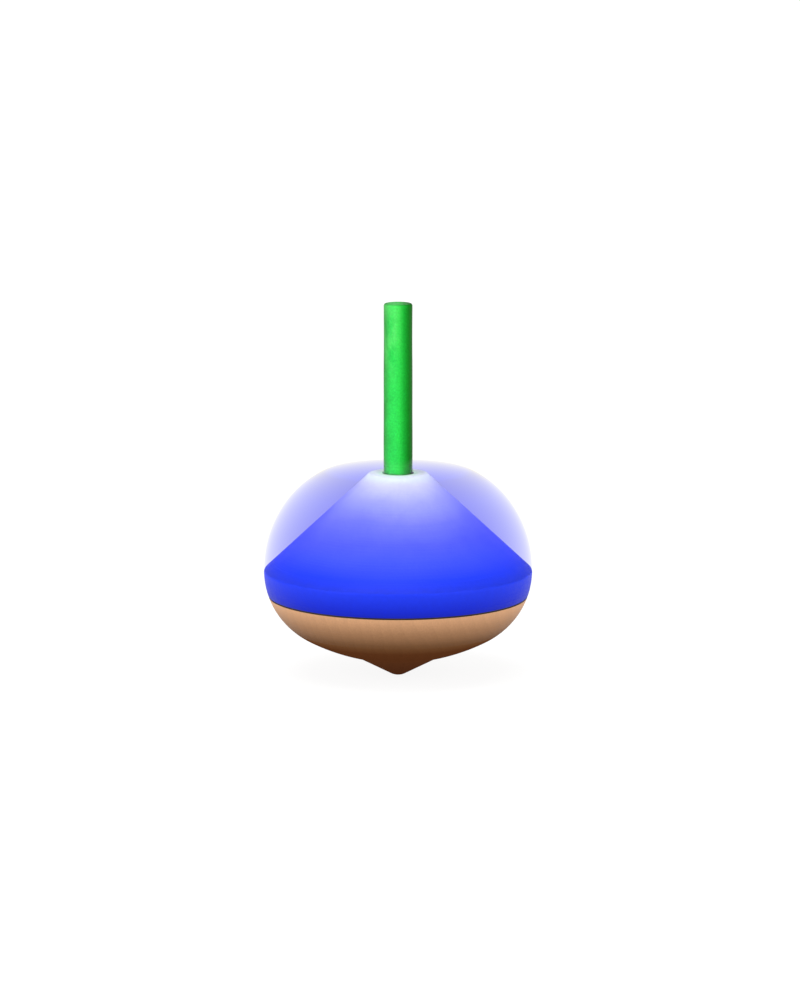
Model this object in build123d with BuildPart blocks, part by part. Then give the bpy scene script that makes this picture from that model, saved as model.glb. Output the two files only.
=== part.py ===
from build123d import *
from math import cos, radians, sin, tan
import os

# A hand-spun top, in millimetres. The origin is the point that touches the floor,
# and +Z is the spin axis, up the stem. Every piece is turned about that axis: its
# profile is drawn in the XZ plane, with X as the radius, and revolved.

# Overall sizes
total_height = 78.4  # floor to the end of the stem
body_diameter = 56.0  # across the rim
stem_diameter = 6.0  # a standard dowel

# Turned wooden body
rim_height = 22.3  # widest circle, where the cone begins
joint_height = 17.0  # glue line between the base and the cone body
cone_top_height = 42.8
cone_top_radius = 6.0
cone_top_round = 0.8
bowl_arc_radius = 16.0  # section of the band and of the upper bowl
bowl_arc_angle = 62.0  # how far that arc runs below the rim, in degrees
joint_bevel = 0.3  # on each side of the glue line, so that a fine groove shows

# Stem
tenon_shoulder = 0.25  # how far the tenon is turned down, all round
core_web = 1.7  # wood left in the base between the tenon's bore and the spigot's
stem_bevel = 0.4

# Turned point, which carries the top on the floor
point_radius = 9.0
point_slope = 27.5  # degrees above the floor
nose_round = 3.5
spigot_radius = 3.0
spigot_length = 5.0
spigot_bevel = 0.3

# Clear dome over the cone
dome_crown = 1.1  # how thick the dome is over the flat top of the cone
dome_shoulder_width = 24.2  # horizontal half axis of the shoulder's elliptical arc
dome_shoulder_angle = 63.0  # how far that arc climbs towards the crown, in degrees
dome_crown_round = 7.0  # between the shoulder and the flat crown

# Clearances
glue_film = 0.05  # all round the tenon, in its bores
dome_film = 0.1  # between the cone and the dome, square to the cone
running_clearance = 0.05  # all round the point's spigot
end_gap = 0.3  # beyond the end of the tenon and of the spigot, in their blind bores

# Sizes that follow from the ones above
body_radius = body_diameter / 2
stem_radius = stem_diameter / 2
tenon_radius = stem_radius - tenon_shoulder
tenon_bore_radius = tenon_radius + glue_film
spigot_bore_radius = spigot_radius + running_clearance
point_angle = radians(point_slope)
nose_edge = (nose_round * sin(point_angle), nose_round * (1 - cos(point_angle)))
point_height = nose_edge[1] + (point_radius - nose_edge[0]) * tan(point_angle)
cone_rise = (cone_top_height - rim_height) / (body_radius - cone_top_radius)
spigot_bore_end = point_height + spigot_length + end_gap
tenon_bore_end = spigot_bore_end + core_web
tenon_foot_height = tenon_bore_end + end_gap
dome_height = cone_top_height + dome_crown
dome_lift = dome_film * (1 + cone_rise**2) ** 0.5  # the dome film, measured along Z

# The bowl's upper section is one arc, upright at the rim
bowl_centre = (body_radius - bowl_arc_radius, rim_height)
joint_drop = rim_height - joint_height
joint_radius = bowl_centre[0] + (bowl_arc_radius**2 - joint_drop**2) ** 0.5
bowl_angle = radians(bowl_arc_angle)
bowl_turn = (
    bowl_centre[0] + bowl_arc_radius * cos(bowl_angle),
    bowl_centre[1] - bowl_arc_radius * sin(bowl_angle),
)

os.makedirs("parts", exist_ok=True)


# Point: a low cone with a rounded nose, on a spigot that runs in the base
with BuildPart() as point:
    with BuildSketch(Plane.XZ):
        with BuildLine():
            TangentArc((0, 0), nose_edge, tangent=(1, 0))
            Line(nose_edge, (point_radius, point_height))
            Line((point_radius, point_height), (0, point_height))
            Line((0, point_height), (0, 0))
        make_face()
    revolve(axis=Axis.Z)
    with BuildSketch(Plane.XY.offset(point_height)):
        Circle(spigot_radius)
    extrude(amount=spigot_length)
    chamfer(point.edges().group_by(Axis.Z)[-1], spigot_bevel)
point.part.label = "point"
export_step(point.part, "parts/point.step")


# Base: a turned wooden bowl, flat on top where it is glued to the cone body
with BuildPart() as base:
    with BuildSketch(Plane.XZ):
        with BuildLine():
            RadiusArc(bowl_turn, (joint_radius, joint_height), -bowl_arc_radius)
            TangentArc(
                bowl_turn,
                (point_radius, point_height),
                tangent=(-sin(bowl_angle), -cos(bowl_angle)),
            )
            Polyline(
                (point_radius, point_height),
                (0, point_height),
                (0, joint_height),
                (joint_radius, joint_height),
            )
        make_face()
    revolve(axis=Axis.Z)
    chamfer(base.edges().group_by(Axis.Z)[-1], joint_bevel)
    with BuildSketch(Plane.XY.offset(joint_height)):
        Circle(tenon_bore_radius)
    extrude(amount=tenon_bore_end - joint_height, mode=Mode.SUBTRACT)
    with BuildSketch(Plane.XY.offset(point_height)):
        Circle(spigot_bore_radius)
    extrude(amount=spigot_bore_end - point_height, mode=Mode.SUBTRACT)
base.part.label = "base"
export_step(base.part, "parts/base.step")


# Cone body: a narrow upright band below the rim, and a straight cone above it
with BuildPart() as cone_body:
    with BuildSketch(Plane.XZ):
        with BuildLine():
            RadiusArc((joint_radius, joint_height), (body_radius, rim_height), -bowl_arc_radius)
            Polyline(
                (body_radius, rim_height),
                (cone_top_radius, cone_top_height),
                (0, cone_top_height),
                (0, joint_height),
                (joint_radius, joint_height),
            )
        make_face()
    revolve(axis=Axis.Z)
    fillet(cone_body.edges().group_by(Axis.Z)[-1], cone_top_round)
    chamfer(cone_body.edges().group_by(Axis.Z)[0], joint_bevel)
    with BuildSketch(Plane.XY.offset(joint_height)):
        Circle(tenon_bore_radius)
    extrude(amount=cone_top_height - joint_height, mode=Mode.SUBTRACT)
cone_body.part.label = "cone_body"
export_step(cone_body.part, "parts/cone_body.step")


# Dome: a clear moulding that sits on the cone's flat top and fills the space
# between the cone and a rounded outline that goes on upright from the rim
shoulder_angle = radians(dome_shoulder_angle)
shoulder_base = rim_height + dome_lift
shoulder_height = (dome_height - shoulder_base) / sin(shoulder_angle)
shoulder_centre = (body_radius - dome_shoulder_width, shoulder_base)
crown_radius = shoulder_centre[0] + dome_shoulder_width * cos(shoulder_angle)
socket_top_radius = body_radius - (cone_top_height - shoulder_base) / cone_rise

with BuildPart() as dome:
    with BuildSketch(Plane.XZ) as dome_section:
        with BuildLine():
            EllipticalCenterArc(
                shoulder_centre,
                dome_shoulder_width,
                shoulder_height,
                arc_size=dome_shoulder_angle,
            )
            Polyline(
                (crown_radius, dome_height),
                (0, dome_height),
                (0, cone_top_height),
                (socket_top_radius, cone_top_height),
                (body_radius, shoulder_base),
            )
        make_face()
        crown_corners = dome_section.vertices().group_by(Axis.Y)[-1]
        fillet(crown_corners.sort_by(Axis.X)[-1], dome_crown_round)
    revolve(axis=Axis.Z)
    with BuildSketch(Plane.XY.offset(cone_top_height)):
        Circle(tenon_bore_radius)
    extrude(amount=dome_height - cone_top_height, mode=Mode.SUBTRACT)
dome.part.label = "dome"
export_step(dome.part, "parts/dome.step")


# Stem: a dowel whose shoulder stands on the dome's crown. Its turned-down tenon is
# glued through the dome and the cone body into the base
with BuildPart() as stem:
    with BuildSketch(Plane.XY.offset(dome_height)):
        Circle(stem_radius)
    extrude(amount=total_height - dome_height)
    chamfer(stem.edges().group_by(Axis.Z)[-1], stem_bevel)
    with BuildSketch(Plane.XY.offset(tenon_foot_height)):
        Circle(tenon_radius)
    extrude(amount=dome_height - tenon_foot_height)
    chamfer(stem.edges().group_by(Axis.Z)[0], stem_bevel)
stem.part.label = "stem"
export_step(stem.part, "parts/stem.step")
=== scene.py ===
import math

import bmesh
import bpy
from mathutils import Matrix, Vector

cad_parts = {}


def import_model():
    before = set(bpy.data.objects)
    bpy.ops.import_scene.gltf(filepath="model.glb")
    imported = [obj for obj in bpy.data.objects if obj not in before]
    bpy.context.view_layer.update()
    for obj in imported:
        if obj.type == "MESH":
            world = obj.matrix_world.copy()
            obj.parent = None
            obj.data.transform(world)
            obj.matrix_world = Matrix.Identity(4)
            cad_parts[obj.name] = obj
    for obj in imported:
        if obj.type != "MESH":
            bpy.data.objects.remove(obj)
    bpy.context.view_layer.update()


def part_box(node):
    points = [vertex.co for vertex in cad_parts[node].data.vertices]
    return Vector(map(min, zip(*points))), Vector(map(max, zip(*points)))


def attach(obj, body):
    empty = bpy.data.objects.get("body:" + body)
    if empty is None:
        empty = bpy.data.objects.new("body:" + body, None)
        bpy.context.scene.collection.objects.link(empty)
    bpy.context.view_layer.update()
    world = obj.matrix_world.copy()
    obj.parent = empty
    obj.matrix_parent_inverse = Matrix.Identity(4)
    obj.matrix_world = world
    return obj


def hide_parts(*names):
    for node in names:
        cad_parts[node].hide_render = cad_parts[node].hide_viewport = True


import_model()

MM = 0.001

# Sizes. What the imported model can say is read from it; the rest of each section is named here.
stem_low, stem_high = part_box("stem")
cone_low, cone_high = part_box("cone_body")
base_low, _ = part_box("base")
_, point_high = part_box("point")
dome_low, dome_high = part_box("dome")

BODY_RADIUS = cone_high.x
POINT_RADIUS = point_high.x
JOINT_Z = cone_low.z
CONE_TOP_Z = cone_high.z
DOME_TOP_Z = dome_high.z
DOME_RIM_Z = dome_low.z
POINT_SEAT_Z = base_low.z
SPIGOT_TOP_Z = point_high.z
STEM_FOOT_Z = stem_low.z
STEM_TOP_Z = stem_high.z
STEM_RADIUS = stem_high.x

DOME_FILM = 0.137 * MM
SEAT_FILM = 0.03 * MM
RIM_Z = DOME_RIM_Z - DOME_FILM
CONE_TOP_RADIUS = 6.0 * MM
CONE_TOP_ROUND = 0.8 * MM
CONE_RUN_END = 0.9 * MM
RIM_ROUND = 0.8 * MM
BOWL_ARC_RADIUS = 16.0 * MM
BOWL_ARC_ANGLE = 62.0
JOINT_BEVEL = 0.2 * MM
POINT_SLOPE = 27.5
NOSE_ROUND = 3.5 * MM
TENON_RADIUS = 2.75 * MM
TENON_BORE_RADIUS = 2.8 * MM
SPIGOT_RADIUS = 3.0 * MM
SPIGOT_BORE_RADIUS = 3.05 * MM
BLIND_GAP = 0.3 * MM
DOME_SHOULDER_WIDTH = 24.2 * MM
DOME_SHOULDER_ANGLE = 63.0
DOME_CROWN_ROUND = 7.0 * MM
END_ROUND = 0.45 * MM
PAINT_FILLET = 0.3 * MM
DOME_HOLE_RADIUS = 3.35 * MM
SHOULDER_DROP = 0.42 * MM
SHOULDER_DROP_RADIUS = 15.5 * MM
SHOULDER_DROP_WIDTH = 5.0 * MM

# A dowel's small faults: how far it is out of round, and how far it bends
DOWEL_OVAL = 0.016 * MM
DOWEL_BEND = 0.012 * MM

SEGMENTS = 256
SHARP_ANGLE = math.radians(28)
AXIS_TOLERANCE = 1e-7


# Sections, as lists of (radius, height)
def arc(centre, size, start, end, steps):
    """Points round an ellipse of half axes size, between two angles in degrees."""
    points = []
    for i in range(steps + 1):
        angle = math.radians(start + (end - start) * i / steps)
        points.append((centre[0] + size[0] * math.cos(angle), centre[1] + size[1] * math.sin(angle)))
    return points


def rounded(before, corner, after, radius, steps=6):
    """The arc of that radius which rounds off a corner between two straight runs."""
    c = Vector(corner)
    a = (Vector(before) - c).normalized()
    b = (Vector(after) - c).normalized()
    half = a.angle(b) / 2
    centre = c + (a + b).normalized() * radius / math.sin(half)
    start = c + a * radius / math.tan(half) - centre
    end = c + b * radius / math.tan(half) - centre
    points = []
    for i in range(steps + 1):
        spoke = start.lerp(end, i / steps).normalized() * radius
        points.append(tuple(centre + spoke))
    return points


def run(start, end, steps):
    """Points along a straight run, without its first one."""
    points = []
    for i in range(1, steps + 1):
        along = i / steps
        points.append((start[0] + (end[0] - start[0]) * along, start[1] + (end[1] - start[1]) * along))
    return points


# Turned pieces
def turned(name, section, body, node, out_of_round=None):
    """A closed section turned about Z. A point on the axis becomes a pole."""
    bm = bmesh.new()
    rings = []
    for radius, height in section:
        if radius < AXIS_TOLERANCE:
            rings.append([bm.verts.new((0, 0, height))])
            continue
        ring = []
        for i in range(SEGMENTS):
            angle = 2 * math.pi * i / SEGMENTS
            r = radius
            if out_of_round:
                r += out_of_round(angle, radius, height)
            ring.append(bm.verts.new((r * math.cos(angle), r * math.sin(angle), height)))
        rings.append(ring)
    on_axis = [len(ring) == 1 for ring in rings]
    pairs = list(zip(rings, rings[1:]))
    if not (on_axis[0] and on_axis[-1]):
        pairs.append((rings[-1], rings[0]))
    for lower, upper in pairs:
        for i in range(SEGMENTS):
            j = (i + 1) % SEGMENTS
            corners = []
            for circle, step in ((lower, i), (lower, j), (upper, j), (upper, i)):
                vertex = circle[step % len(circle)]
                if vertex not in corners:
                    corners.append(vertex)
            if len(corners) > 2:
                bm.faces.new(corners)
    bmesh.ops.recalc_face_normals(bm, faces=bm.faces)
    for face in bm.faces:
        face.smooth = True
    for edge in bm.edges:
        edge.smooth = edge.calc_face_angle(0) < SHARP_ANGLE
    mesh = bpy.data.meshes.new(name)
    bm.to_mesh(mesh)
    bm.free()
    piece = bpy.data.objects.new(name, mesh)
    bpy.context.collection.objects.link(piece)
    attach(piece, body)
    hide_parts(node)
    return piece


# Materials
def linear(red, green, blue):
    """A colour given as 0 to 255 screen values, as the linear values that shaders take."""
    values = []
    for v in (red, green, blue):
        v = v / 255
        values.append(v / 12.92 if v <= 0.04045 else ((v + 0.055) / 1.055) ** 2.4)
    return (*values, 1.0)


class Paint:
    """A material with one Principled shader, and short calls for the nodes that feed it."""

    def __init__(self, name):
        self.material = bpy.data.materials.new(name)
        self.material.use_nodes = True
        self.tree = self.material.node_tree
        self.shader = self.tree.nodes["Principled BSDF"]
        self.output = self.tree.nodes["Material Output"]
        coordinates = self.tree.nodes.new("ShaderNodeTexCoord")
        self.place = self.math_vector("SCALE", coordinates.outputs["Object"], scale=1000.0)
        split = self.tree.nodes.new("ShaderNodeSeparateXYZ")
        self.link(self.place, split.inputs[0])
        self.x, _, self.height = split.outputs

    def link(self, source, target):
        self.tree.links.new(source, target)

    def set(self, socket, value):
        self.shader.inputs[socket].default_value = value

    def feed(self, socket, source):
        self.link(source, self.shader.inputs[socket])

    def math_vector(self, operation, a, b=None, scale=None):
        node = self.tree.nodes.new("ShaderNodeVectorMath")
        node.operation = operation
        self.link(a, node.inputs[0])
        if b is not None:
            node.inputs[1].default_value = b
        if scale is not None:
            node.inputs["Scale"].default_value = scale
        return node.outputs[0]

    def math(self, operation, a, b=0.0):
        node = self.tree.nodes.new("ShaderNodeMath")
        node.operation = operation
        for value, socket in ((a, node.inputs[0]), (b, node.inputs[1])):
            if isinstance(value, (int, float)):
                socket.default_value = value
            else:
                self.link(value, socket)
        return node.outputs[0]

    def stretch(self, value, low, high, to_low=0.0, to_high=1.0):
        node = self.tree.nodes.new("ShaderNodeMapRange")
        self.link(value, node.inputs["Value"])
        ends = {"From Min": low, "From Max": high, "To Min": to_low, "To Max": to_high}
        for socket, number in ends.items():
            node.inputs[socket].default_value = number
        return node.outputs[0]

    def scaled(self, factors):
        return self.math_vector("MULTIPLY", self.place, b=factors)

    def length(self, vector):
        node = self.tree.nodes.new("ShaderNodeVectorMath")
        node.operation = "LENGTH"
        self.link(vector, node.inputs[0])
        return node.outputs["Value"]

    def distance_from_axis(self):
        return self.length(self.scaled((1, 1, 0)))

    def noise(self, vector, scale, detail=3.0, roughness=0.5, distortion=0.0):
        node = self.tree.nodes.new("ShaderNodeTexNoise")
        self.link(vector, node.inputs["Vector"])
        node.inputs["Scale"].default_value = scale
        node.inputs["Detail"].default_value = detail
        node.inputs["Roughness"].default_value = roughness
        node.inputs["Distortion"].default_value = distortion
        return node.outputs["Fac"]

    def ramp(self, value, stops):
        node = self.tree.nodes.new("ShaderNodeValToRGB")
        elements = node.color_ramp.elements
        while len(elements) < len(stops):
            elements.new(0.5)
        for element, (position, colour) in zip(elements, stops):
            element.position = position
            element.color = colour
        self.link(value, node.inputs[0])
        return node.outputs["Color"]

    def mix(self, factor, a, b, blend="MIX"):
        node = self.tree.nodes.new("ShaderNodeMix")
        node.data_type = "RGBA"
        node.blend_type = blend
        for value, socket in ((factor, node.inputs[0]), (a, node.inputs[6]), (b, node.inputs[7])):
            if isinstance(value, (int, float, tuple)):
                socket.default_value = value
            else:
                self.link(value, socket)
        return node.outputs[2]

    def bump(self, height, distance, under=None):
        node = self.tree.nodes.new("ShaderNodeBump")
        node.inputs["Distance"].default_value = distance
        self.link(height, node.inputs["Height"])
        if under is not None:
            self.link(under, node.inputs["Normal"])
        return node.outputs["Normal"]

    def give(self, piece):
        piece.data.materials.append(self.material)


def by_height(paint, stops, low, high, warp=None):
    """A colour ramp over height in millimetres."""
    value = paint.height
    if warp is not None:
        value = paint.math("ADD", value, warp)
    value = paint.stretch(value, low, high)
    places = [((z - low) / (high - low), colour) for z, colour in stops]
    return paint.ramp(value, places)


def blue_lacquer():
    """White at the top of the cone, deepening to a strong blue at the band. Below the rim the blue darkens
    towards the joint as painted shade where the band turns under, and the darker stop just above the rim
    is painted shade that evens out the light on the rounded rim.
    """
    paint = Paint("blue_lacquer")
    drift = paint.stretch(paint.noise(paint.scaled((1, 1, 1)), 0.09, detail=2), 0.3, 0.7, -0.7, 0.7)
    drift = paint.math("MULTIPLY", drift, paint.stretch(paint.height, 25.0, 30.0))
    # Painted shade: the stops from 17.0 to 22.5 darken the band and the rounded rim; the stops above them
    # are the lacquer's own white-to-blue fade.
    stops = [
        (17.0, linear(8, 27, 170)),
        (18.5, linear(11, 35, 193)),
        (20.6, linear(21, 47, 209)),
        (22.1, linear(26, 53, 219)),
        (22.5, linear(22, 46, 197)),
        (24.5, linear(30, 59, 223)),
        (27.5, linear(66, 86, 248)),
        (30.5, linear(92, 104, 251)),
        (34.5, linear(130, 137, 252)),
        (38.5, linear(178, 182, 252)),
        (41.4, linear(218, 222, 252)),
        (42.5, linear(226, 236, 244)),
    ]
    colour = by_height(paint, stops, 16.0, 43.0, warp=drift)
    # Across the flat top of the cone: the green next to the stem is a painted reflection of the stem, and
    # the slightly greyer tone towards the top's edge is painted shade.
    out = paint.distance_from_axis()
    top = paint.ramp(
        paint.stretch(out, 3.0, 6.0),
        [
            (0.0, linear(150, 206, 150)),
            (0.14, linear(206, 240, 206)),
            (0.45, linear(230, 242, 232)),
            (0.75, linear(228, 234, 232)),
            (1.0, linear(224, 230, 236)),
        ],
    )
    colour = paint.mix(paint.stretch(paint.height, 42.45, 42.75), colour, top)
    mottle = paint.noise(paint.scaled((1, 1, 1)), 0.9, detail=5, roughness=0.65)
    shade = paint.stretch(mottle, 0.3, 0.7, 0.955, 1.03)
    paint.feed("Base Color", paint.mix(1.0, colour, shade, blend="MULTIPLY"))
    paint.feed("Roughness", paint.stretch(mottle, 0.3, 0.7, 0.42, 0.55))
    rings = paint.noise(paint.scaled((0.02, 0.02, 1.0)), 2.6, detail=3)
    peel = paint.noise(paint.scaled((1, 1, 1)), 1.6, detail=2)
    paint.feed("Normal", paint.bump(peel, 0.03 * MM, under=paint.bump(rings, 0.05 * MM)))
    paint.set("Specular IOR Level", 0.1)
    return paint


def turned_wood(name, low, high, stops, gloss):
    """Close-grained wood turned to a bowl, its grain running up the axis."""
    paint = Paint(name)
    colour = by_height(paint, stops, low, high)
    off_centre = paint.math_vector("ADD", paint.scaled((1, 1, 0.06)), b=(31.0, 12.0, 0.0))
    wander = paint.noise(off_centre, 0.05, detail=3, distortion=0.4)
    rings = paint.math("ADD", paint.length(off_centre), paint.math("MULTIPLY", wander, 9.0))
    rings = paint.math("FRACT", paint.math("MULTIPLY", rings, 0.42))
    late = paint.stretch(rings, 0.0, 1.0, 1.0, 0.95)
    fleck = paint.noise(paint.scaled((2.2, 2.2, 0.22)), 1.5, detail=4, roughness=0.6)
    flecks = paint.stretch(fleck, 0.36, 0.64, 0.95, 1.04)
    pores = paint.noise(paint.scaled((9, 9, 0.9)), 1.0, detail=2)
    pore = paint.stretch(pores, 0.3, 0.42, 0.88, 1.0)
    grain = paint.math("MULTIPLY", paint.math("MULTIPLY", late, flecks), pore)
    paint.feed("Base Color", paint.mix(1.0, colour, grain, blend="MULTIPLY"))
    paint.feed("Roughness", paint.stretch(fleck, 0.3, 0.7, gloss, gloss + 0.14))
    tool = paint.noise(paint.scaled((0.03, 0.03, 1.0)), 3.2, detail=2)
    normal = paint.bump(tool, 0.05 * MM)
    paint.feed("Normal", paint.bump(pore, 0.03 * MM, under=normal))
    paint.feed("Specular IOR Level", paint.stretch(paint.height, 9.5, 16.0, 0.0, 0.1))
    return paint


def bowl_wood():
    # Darker downwards: painted shade on the underside of the bowl, which faces away from the light.
    stops = [
        (4.0, linear(86, 48, 25)),
        (6.0, linear(84, 46, 23)),
        (8.0, linear(87, 49, 25)),
        (10.5, linear(111, 75, 46)),
        (13.5, linear(157, 115, 81)),
        (16.5, linear(200, 151, 111)),
    ]
    return turned_wood("bowl_wood", 4.0, 17.0, stops, 0.42)


def point_wood():
    # Darkest at the tip: the same painted shade of the underside, carried on down the point.
    stops = [
        (0.0, linear(72, 38, 21)),
        (4.3, linear(84, 47, 25)),
    ]
    return turned_wood("point_wood", 0.0, 4.4, stops, 0.38)


def burnt_line():
    """The dark line burnt into the groove at the glue line."""
    paint = Paint("burnt_line")
    char = paint.noise(paint.scaled((1, 1, 1)), 1.8, detail=4)
    colour = paint.ramp(char, [(0.3, linear(22, 14, 20)), (0.7, linear(48, 34, 32))])
    paint.feed("Base Color", colour)
    paint.feed("Roughness", paint.stretch(char, 0.3, 0.7, 0.6, 0.85))
    return paint


def green_paint():
    """Enamel brushed on a dowel, with painted shade across it: brightest left of centre, darkening towards
    the right edge and to a thin darker left edge.
    """
    paint = Paint("green_paint")
    cloud = paint.noise(paint.scaled((1, 1, 0.5)), 0.5, detail=4, roughness=0.6)
    mottle = paint.noise(paint.scaled((1, 1, 0.8)), 3.0, detail=4, roughness=0.7)
    across = paint.math("ADD", paint.x, paint.stretch(cloud, 0.3, 0.7, -0.15, 0.15))
    # Painted shade across the dowel: lit left of centre, shaded towards the right edge, with a thin darker
    # left edge.
    green_with_painted_side_shade = paint.ramp(
        paint.stretch(across, -3.0, 3.0),
        [
            (0.0, linear(42, 122, 50)),
            (0.025, linear(42, 142, 56)),
            (0.1, linear(52, 172, 73)),
            (0.24, linear(48, 206, 80)),
            (0.4, linear(48, 209, 80)),
            (0.54, linear(42, 204, 70)),
            (0.7, linear(22, 164, 46)),
            (0.84, linear(10, 126, 25)),
            (0.93, linear(10, 104, 16)),
            (1.0, linear(20, 88, 16)),
        ],
    )
    shade = paint.math(
        "MULTIPLY",
        paint.stretch(mottle, 0.3, 0.7, 0.82, 1.14),
        paint.stretch(cloud, 0.3, 0.7, 0.93, 1.07),
    )
    colour = paint.mix(1.0, green_with_painted_side_shade, shade, blend="MULTIPLY")
    # A pale patch on the left side of the dowel, towards its top.
    pale_patch = paint.math(
        "MULTIPLY",
        paint.math("MULTIPLY", paint.stretch(paint.height, 60.0, 72.0), paint.stretch(paint.x, 1.2, -0.6)),
        paint.stretch(cloud, 0.35, 0.65, 0.0, 0.1),
    )
    colour = paint.mix(pale_patch, colour, linear(190, 236, 170))
    # Painted shade darkens the foot of the stem where it meets the cone; the end face at the top is made
    # darker too.
    foot = paint.stretch(paint.height, 42.8, 43.2, 0.35, 1.0)
    end = paint.stretch(paint.height, 78.1, 78.38, 1.0, 0.62)
    foot = paint.math("MULTIPLY", foot, end)
    paint.feed("Base Color", paint.mix(1.0, colour, foot, blend="MULTIPLY"))
    paint.feed("Roughness", paint.stretch(paint.height, 43.0, 46.0, 0.16, 0.38))
    peel = paint.noise(paint.scaled((1, 1, 1)), 2.2, detail=2)
    paint.feed("Normal", paint.bump(peel, 0.03 * MM, under=paint.bump(mottle, 0.02 * MM)))
    paint.feed("Specular IOR Level", paint.stretch(paint.height, 43.0, 46.0, 0.5, 0.04))
    return paint


def tinted_clear():
    """Clear moulding that takes off red and green by its depth, so it is palest at its edge."""
    paint = Paint("tinted_clear")
    shoulder = paint.math(
        "MULTIPLY",
        paint.stretch(paint.height, 39.0, 42.4),
        paint.stretch(paint.height, 42.95, 43.4, 1.0, 0.0),
    )
    outside = paint.stretch(paint.distance_from_axis(), 6.3, 8.0)
    smoke = paint.math("MULTIPLY", shoulder, outside)
    tint = paint.mix(smoke, (0.98, 0.98, 0.965, 1), (0.99, 0.962, 0.82, 1))
    crown = paint.stretch(paint.height, 43.45, 43.8)
    tint = paint.mix(crown, tint, (0.955, 0.95, 0.95, 1))
    paint.feed("Base Color", tint)
    paint.set("Transmission Weight", 1.0)
    paint.set("Roughness", 0.0)
    paint.set("IOR", 1.0)
    depth = paint.tree.nodes.new("ShaderNodeVolumeAbsorption")
    depth.inputs["Color"].default_value = (0.0, 0.03, 0.92, 1.0)
    depth.inputs["Density"].default_value = 30.5
    paint.link(depth.outputs[0], paint.output.inputs["Volume"])
    return paint


# Sections of the five pieces
bowl_centre = (BODY_RADIUS - BOWL_ARC_RADIUS, RIM_Z)
joint_angle = -math.degrees(math.asin((RIM_Z - JOINT_Z) / BOWL_ARC_RADIUS))
bowl_size = (BOWL_ARC_RADIUS, BOWL_ARC_RADIUS)
groove_angle = math.degrees(JOINT_BEVEL / BOWL_ARC_RADIUS)
groove_floor = bowl_centre[0] + BOWL_ARC_RADIUS * math.cos(math.radians(joint_angle)) - JOINT_BEVEL


def stem_section():
    seat = CONE_TOP_Z + SEAT_FILM
    section = [(0, STEM_FOOT_Z), (TENON_RADIUS, STEM_FOOT_Z), (TENON_RADIUS, seat)]
    bead_centre = (STEM_RADIUS + PAINT_FILLET, seat + PAINT_FILLET)
    section += arc(bead_centre, (PAINT_FILLET, PAINT_FILLET), -90, -180, 8)
    end = (STEM_RADIUS, STEM_TOP_Z)
    section += run(section[-1], (STEM_RADIUS, STEM_TOP_Z - END_ROUND), 60)[:-1]
    section += rounded(section[-1], end, (0, STEM_TOP_Z), END_ROUND)
    section += run(section[-1], (0, STEM_TOP_Z), 6)
    return section


def cone_section():
    cone_rise = (CONE_TOP_Z - RIM_Z) / (BODY_RADIUS - CONE_TOP_RADIUS)
    rim = (BODY_RADIUS, RIM_Z)
    shoulder = (CONE_TOP_RADIUS, CONE_TOP_Z)
    band = arc(bowl_centre, bowl_size, joint_angle + groove_angle, 0, 24)
    section = [(TENON_BORE_RADIUS, JOINT_Z), (groove_floor, JOINT_Z)]
    section += [p for p in band if p[1] < RIM_Z - RIM_ROUND]
    section += rounded(band[-3], rim, shoulder, RIM_ROUND)
    run_end = (CONE_TOP_RADIUS + CONE_RUN_END, CONE_TOP_Z - CONE_RUN_END * cone_rise)
    section += run(section[-1], run_end, 60)[:-1]
    section += rounded(rim, shoulder, (0, CONE_TOP_Z), CONE_TOP_ROUND)
    section.append((TENON_BORE_RADIUS, CONE_TOP_Z))
    return section


def base_section():
    spigot_end = SPIGOT_TOP_Z + BLIND_GAP
    section = [(0, spigot_end), (SPIGOT_BORE_RADIUS, spigot_end), (SPIGOT_BORE_RADIUS, POINT_SEAT_Z)]
    section += bowl_curve()
    section.append((groove_floor, JOINT_Z))
    section.append((TENON_BORE_RADIUS, JOINT_Z))
    section.append((TENON_BORE_RADIUS, STEM_FOOT_Z - BLIND_GAP))
    section.append((0, STEM_FOOT_Z - BLIND_GAP))
    return section


def bowl_curve():
    """The bowl's outline, from the point's seat up to the groove."""
    turn_angle = math.radians(BOWL_ARC_ANGLE)
    turn = Vector((bowl_centre[0] + BOWL_ARC_RADIUS * math.cos(turn_angle),
                   bowl_centre[1] - BOWL_ARC_RADIUS * math.sin(turn_angle)))
    seat = Vector((POINT_RADIUS, POINT_SEAT_Z))
    tangent = Vector((-math.sin(turn_angle), -math.cos(turn_angle)))
    normal = Vector((tangent.y, -tangent.x))
    chord = seat - turn
    radius = chord.length_squared / (2 * chord.dot(normal))
    centre = turn + normal * radius
    points = []
    steps = 32
    for i in range(steps + 1):
        spoke = (seat - centre).lerp(turn - centre, i / steps).normalized() * abs(radius)
        points.append(tuple(centre + spoke))
    points += arc(bowl_centre, bowl_size, -BOWL_ARC_ANGLE, joint_angle - groove_angle, 40)[1:]
    return points


def point_section():
    nose = arc((0, NOSE_ROUND), (NOSE_ROUND, NOSE_ROUND), -90, -90 + POINT_SLOPE, 12)
    nose[0] = (0, 0)
    section = nose + run(nose[-1], (POINT_RADIUS, POINT_SEAT_Z), 24)
    section += [(SPIGOT_RADIUS, POINT_SEAT_Z), (SPIGOT_RADIUS, SPIGOT_TOP_Z), (0, SPIGOT_TOP_Z)]
    return section


def softened(radius):
    """How much of the shoulder's drop there is at a radius."""
    return math.exp(-(((radius - SHOULDER_DROP_RADIUS) / SHOULDER_DROP_WIDTH) ** 2))


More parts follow.
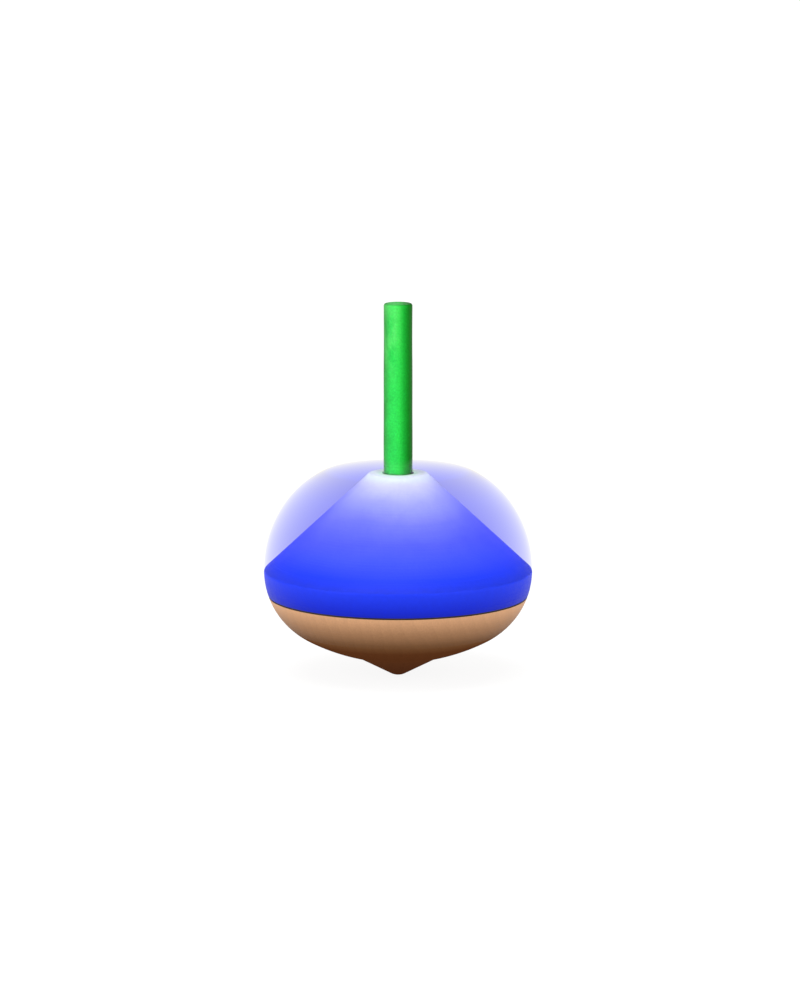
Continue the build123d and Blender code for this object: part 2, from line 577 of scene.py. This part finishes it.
def dome_section():
    turn = math.radians(DOME_SHOULDER_ANGLE)
    size = (DOME_SHOULDER_WIDTH, (DOME_TOP_Z - DOME_RIM_Z) / math.sin(turn))
    centre = (BODY_RADIUS - DOME_SHOULDER_WIDTH, DOME_RIM_Z)
    shoulder = arc(centre, size, 0, DOME_SHOULDER_ANGLE, 60)
    crown = shoulder[-1]
    rise = (CONE_TOP_Z - RIM_Z) / (BODY_RADIUS - CONE_TOP_RADIUS)
    socket_top = BODY_RADIUS - (CONE_TOP_Z - DOME_RIM_Z) / rise
    eased = rounded(shoulder[-8], crown, (0, DOME_TOP_Z), DOME_CROWN_ROUND, steps=12)
    section = [p for p in shoulder if p[1] < eased[0][1]] + eased
    section += run(section[-1], (DOME_HOLE_RADIUS, DOME_TOP_Z), 24)
    section = [(r, z - SHOULDER_DROP * softened(r)) for r, z in section]
    seat = CONE_TOP_Z + SEAT_FILM
    section += [(DOME_HOLE_RADIUS, seat), (socket_top, seat)]
    section += run((socket_top, seat), (BODY_RADIUS, DOME_RIM_Z), 24)[:-1]
    return section


def dowel_wander(angle, radius, height):
    """A dowel is never quite round or quite straight."""
    if height < DOME_TOP_Z + 1.0 * MM:
        return 0.0
    twist = 0.150 * height / MM
    sway = 0.420 * height / MM
    return DOWEL_OVAL * math.sin(2 * angle + twist) + DOWEL_BEND * math.sin(sway)


stem = turned("stem_dowel", stem_section(), "top", "stem", dowel_wander)
cone = turned("cone_turning", cone_section(), "top", "cone_body")
bowl = turned("bowl_turning", base_section(), "top", "base")
point = turned("point_turning", point_section(), "pivot", "point")
dome = turned("dome_moulding", dome_section(), "top", "dome")

green_paint().give(stem)
blue_lacquer().give(cone)
bowl_wood().give(bowl)
point_wood().give(point)
tinted_clear().give(dome)

burnt = burnt_line()
for piece in (cone, bowl):
    burnt.give(piece)
    for face in piece.data.polygons:
        middle = face.center
        near_joint = abs(middle.z - JOINT_Z) < JOINT_BEVEL
        if near_joint and math.hypot(middle.x, middle.y) > POINT_RADIUS * 2:
            face.material_index = 1


# Stage
def white_floor():
    paint = Paint("studio_floor")
    speckle = paint.noise(paint.scaled((1, 1, 1)), 0.02, detail=2)
    stops = [(0.3, (0.14, 0.14, 0.14, 1)), (0.7, (0.15, 0.15, 0.15, 1))]
    paint.feed("Base Color", paint.ramp(speckle, stops))
    paint.set("Roughness", 1.0)
    paint.set("Specular IOR Level", 0.0)
    paint.set("Emission Color", (1, 1, 1, 1))
    paint.set("Emission Strength", 0.9)
    return paint


def floor():
    bm = bmesh.new()
    bmesh.ops.create_circle(bm, cap_ends=True, radius=12.0, segments=96)
    mesh = bpy.data.meshes.new("floor")
    bm.to_mesh(mesh)
    bm.free()
    piece = bpy.data.objects.new("floor", mesh)
    bpy.context.collection.objects.link(piece)
    white_floor().give(piece)


def sun(name, azimuth, elevation, strength, spread):
    """A broad far light. Azimuth 0 shines from the camera's side and 90 from the right."""
    lamp = bpy.data.lights.new(name, "SUN")
    lamp.energy = strength
    lamp.angle = math.radians(spread)
    lamp_object = bpy.data.objects.new(name, lamp)
    bpy.context.collection.objects.link(lamp_object)
    a, e = math.radians(azimuth), math.radians(elevation)
    towards = Vector((math.sin(a) * math.cos(e), -math.cos(a) * math.cos(e), math.sin(e)))
    lamp_object.rotation_mode = "QUATERNION"
    lamp_object.rotation_quaternion = towards.to_track_quat("Z", "Y")


def world():
    sky = bpy.data.worlds.new("studio")
    bpy.context.scene.world = sky
    sky.use_nodes = True
    tree = sky.node_tree
    background = tree.nodes["Background"]
    coordinates = tree.nodes.new("ShaderNodeTexCoord")
    split = tree.nodes.new("ShaderNodeSeparateXYZ")
    tree.links.new(coordinates.outputs["Generated"], split.inputs[0])
    height = tree.nodes.new("ShaderNodeMapRange")
    height.inputs["From Min"].default_value = 0.06
    height.inputs["From Max"].default_value = 0.25
    height.inputs["To Min"].default_value = 1.0
    height.inputs["To Max"].default_value = 0.5
    tree.links.new(split.outputs[2], height.inputs["Value"])
    tree.links.new(height.outputs[0], background.inputs["Strength"])
    background.inputs["Color"].default_value = (1, 1, 1, 1)


def camera():
    distance = 1.25
    aim = Vector((0.4 * MM, 0, 37.05 * MM))
    elevation = math.radians(9.9)
    data = bpy.data.cameras.new("camera")
    data.sensor_width = 36.0
    frame_height = 208.33 * MM
    data.lens = data.sensor_width * distance / frame_height
    data.clip_end = 50
    camera_object = bpy.data.objects.new("camera", data)
    bpy.context.collection.objects.link(camera_object)
    back = Vector((0, -math.cos(elevation), math.sin(elevation)))
    camera_object.location = aim + back * distance
    camera_object.rotation_mode = "QUATERNION"
    camera_object.rotation_quaternion = back.to_track_quat("Z", "Y")
    bpy.context.scene.camera = camera_object


floor()
sun("left", -60, 24, 1.22, 40)
sun("right", 60, 24, 1.01, 40)
sun("top", -20, 74, 1.9, 50)
world()
camera()

settings = bpy.context.scene.view_settings
settings.view_transform = "Standard"
settings.look = "None"
